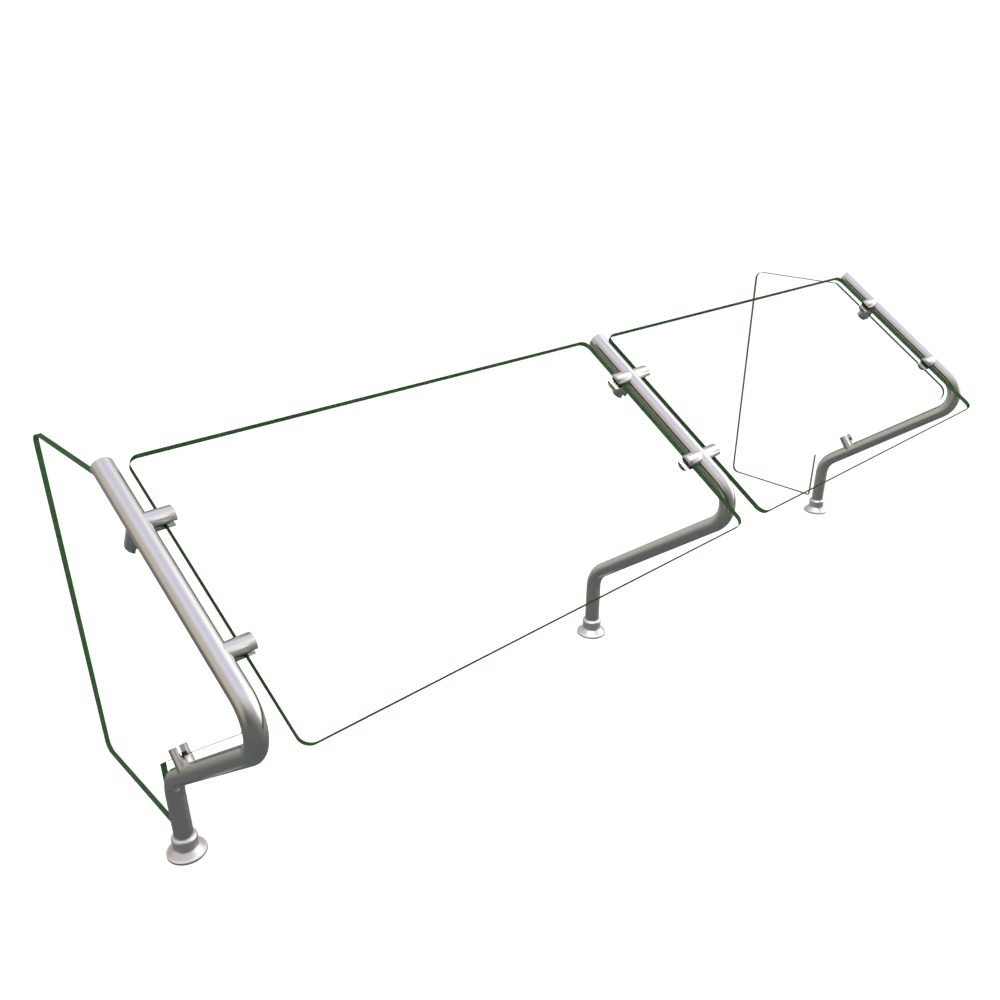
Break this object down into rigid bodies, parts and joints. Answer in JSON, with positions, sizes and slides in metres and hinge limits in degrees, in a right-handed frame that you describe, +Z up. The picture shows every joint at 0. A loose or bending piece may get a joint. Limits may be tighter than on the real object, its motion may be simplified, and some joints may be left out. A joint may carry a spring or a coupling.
{
  "type": "countertop glass food guard",
  "caption": "Countertop glass food guard: bent stainless tube posts hold sloping front panels and upright end panels in slotted round clamps, on round flanged feet.",
  "frame": {"origin": "under the middle post, on its axis, on the counter top", "axes": "+X along the counter to the right as the customer sees it, +Y towards the server, +Z up"},
  "size_m": [1.6606, 0.5412, 0.5535],
  "materials": {
    "satin_stainless_posts": "satin brushed along the tube",
    "satin_stainless_clamps": "satin turned",
    "satin_stainless_caps": "satin",
    "satin_stainless_feet": "satin, brushed in rings",
    "turned_steel": "as turned",
    "screw_steel": "plain",
    "insert_brass": "plain",
    "black_rubber": "matte",
    "clear_glass": "clear, with polished green edges"
  },
  "bodies": {
    "posts": {"post_left": "satin_stainless_posts", "tip_cap_left": "satin_stainless_caps", "base_flange_left": "turned_steel", "clamp_left_upper": "satin_stainless_clamps", "sleeve_left_upper": "black_rubber", "clamp_left_lower": "satin_stainless_clamps", "sleeve_left_lower": "black_rubber", "clamp_left_end": "satin_stainless_clamps", "sleeve_left_end": "black_rubber", "clamp_left_arm": "satin_stainless_clamps", "sleeve_left_arm": "black_rubber", "clamp_screws_left": "screw_steel", "clamp_inserts_left": "insert_brass", "post_middle": "satin_stainless_posts", "tip_cap_middle": "satin_stainless_caps", "base_flange_middle": "turned_steel", "clamp_middle_upper_a": "satin_stainless_clamps", "sleeve_middle_upper_a": "black_rubber", "clamp_middle_upper_b": "satin_stainless_clamps", "sleeve_middle_upper_b": "black_rubber", "clamp_middle_lower_a": "satin_stainless_clamps", "sleeve_middle_lower_a": "black_rubber", "clamp_middle_lower_b": "satin_stainless_clamps", "sleeve_middle_lower_b": "black_rubber", "clamp_middle_spare": "satin_stainless_clamps", "sleeve_middle_spare": "black_rubber", "clamp_screws_middle": "screw_steel", "clamp_inserts_middle": "insert_brass", "post_right": "satin_stainless_posts", "tip_cap_right": "satin_stainless_caps", "base_flange_right": "turned_steel", "clamp_right_upper": "satin_stainless_clamps", "sleeve_right_upper": "black_rubber", "clamp_right_lower": "satin_stainless_clamps", "sleeve_right_lower": "black_rubber", "clamp_right_end": "satin_stainless_clamps", "sleeve_right_end": "black_rubber", "clamp_right_arm": "satin_stainless_clamps", "sleeve_right_arm": "black_rubber", "clamp_screws_right": "screw_steel", "clamp_inserts_right": "insert_brass"},
    "foot_cover_left": {"foot_cover_left": "satin_stainless_feet", "foot_gasket_left": "black_rubber", "foot_oring_left": "black_rubber"},
    "foot_cover_middle": {"foot_cover_middle": "satin_stainless_feet", "foot_gasket_middle": "black_rubber", "foot_oring_middle": "black_rubber"},
    "foot_cover_right": {"foot_cover_right": "satin_stainless_feet", "foot_gasket_right": "black_rubber", "foot_oring_right": "black_rubber"},
    "front_panel_left": {"front_panel_left": "clear_glass"},
    "front_panel_right": {"front_panel_right": "clear_glass"},
    "end_panel_left": {"end_panel_left": "clear_glass"},
    "end_panel_right": {"end_panel_right": "clear_glass"}
  },
  "joints": [
    {"name": "cover_slide_left", "type": "slide", "parent": "posts", "child": "foot_cover_left", "axis": [0, 0, 1], "range_m": [0, 0.02]},
    {"name": "cover_slide_middle", "type": "slide", "parent": "posts", "child": "foot_cover_middle", "axis": [0, 0, 1], "range_m": [0, 0.02]},
    {"name": "cover_slide_right", "type": "slide", "parent": "posts", "child": "foot_cover_right", "axis": [0, 0, 1], "range_m": [0, 0.02]},
    {"name": "front_panel_left_lift", "type": "slide", "parent": "posts", "child": "front_panel_left", "axis": [0, 0.8396, 0.5433], "range_m": [0, 0.1]},
    {"name": "front_panel_right_lift", "type": "slide", "parent": "posts", "child": "front_panel_right", "axis": [0, 0.8396, 0.5433], "range_m": [0, 0.1]},
    {"name": "end_panel_left_draw", "type": "slide", "parent": "posts", "child": "end_panel_left", "axis": [0, 1, 0], "range_m": [0, 0.02]},
    {"name": "end_panel_right_draw", "type": "slide", "parent": "posts", "child": "end_panel_right", "axis": [0, 1, 0], "range_m": [0, 0.02]}
  ]
}
